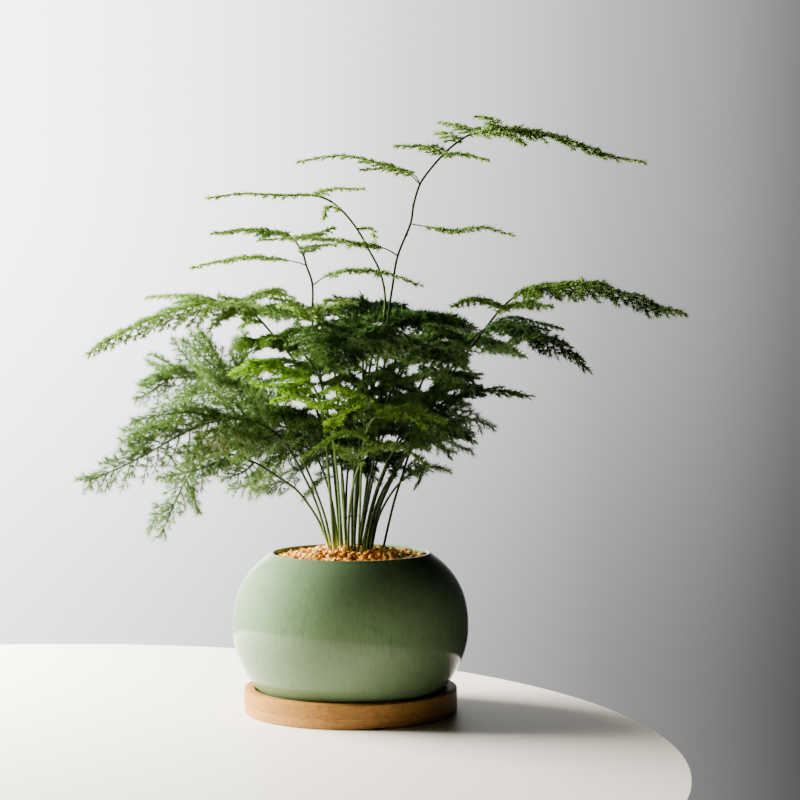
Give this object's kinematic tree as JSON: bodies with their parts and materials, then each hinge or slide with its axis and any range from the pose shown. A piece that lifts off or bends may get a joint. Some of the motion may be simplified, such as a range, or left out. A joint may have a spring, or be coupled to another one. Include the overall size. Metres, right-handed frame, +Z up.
{
  "type": "potted lace fern",
  "caption": "Lace fern with wiry canes and flat feathery sprays in a gravel-dressed round glazed bowl on a shallow bamboo saucer.",
  "frame": {"origin": "centre of the saucer's flat underside, on the surface it stands on", "axes": "+Z up along the bowl's axis, +X to the right in the picture, -Y towards the viewer; the tallest cane arches to +X"},
  "size_m": [0.3675, 0.2755, 0.377],
  "materials": {
    "glaze": "glossy celadon glaze with a fine crackle",
    "bamboo": "satin laminated bamboo with fine flecks",
    "gravel": "matte amber and tan grains",
    "soil": "damp potting soil",
    "leaf_mature": "deep green needles, satin",
    "leaf_young": "bright yellow-green needles, satin",
    "leaf_airy": "soft grey-green needles, satin"
  },
  "bodies": {
    "root": {"saucer": "bamboo", "bowl": "glaze", "soil": "soil", "gravel": "gravel", "cane_low_left": "leaf_airy", "cane_cloud_low": "leaf_airy", "cane_cloud_high": "leaf_airy", "cane_bright_left_high": "leaf_young", "cane_bright_left_low": "leaf_young", "cane_arch_left": "leaf_mature", "cane_thin_left": "leaf_mature", "cane_young_arch": "leaf_young", "cane_tallest": "leaf_mature", "cane_right_high": "leaf_mature", "cane_right_dark": "leaf_mature", "cane_right_mid": "leaf_mature", "cane_right_low": "leaf_mature", "cane_right_fuzzy": "leaf_airy", "cane_right_tail": "leaf_mature", "cane_lone_right": "leaf_mature", "cane_front_veil": "leaf_mature", "cane_front_right": "leaf_mature", "cane_back_left": "leaf_mature", "cane_back_centre": "leaf_mature", "cane_back_right": "leaf_mature", "cane_middle_left": "leaf_mature", "cane_middle_low": "leaf_airy", "cane_inner_right": "leaf_airy", "cane_front_low": "leaf_young", "cane_front_gold": "leaf_young", "cane_right_deep": "leaf_mature", "cane_inner_left": "leaf_airy", "cane_inner_front": "leaf_airy", "cane_inner_back": "leaf_airy", "cane_low_right": "leaf_airy", "cane_centre_high": "leaf_mature"}
  },
  "joints": []
}
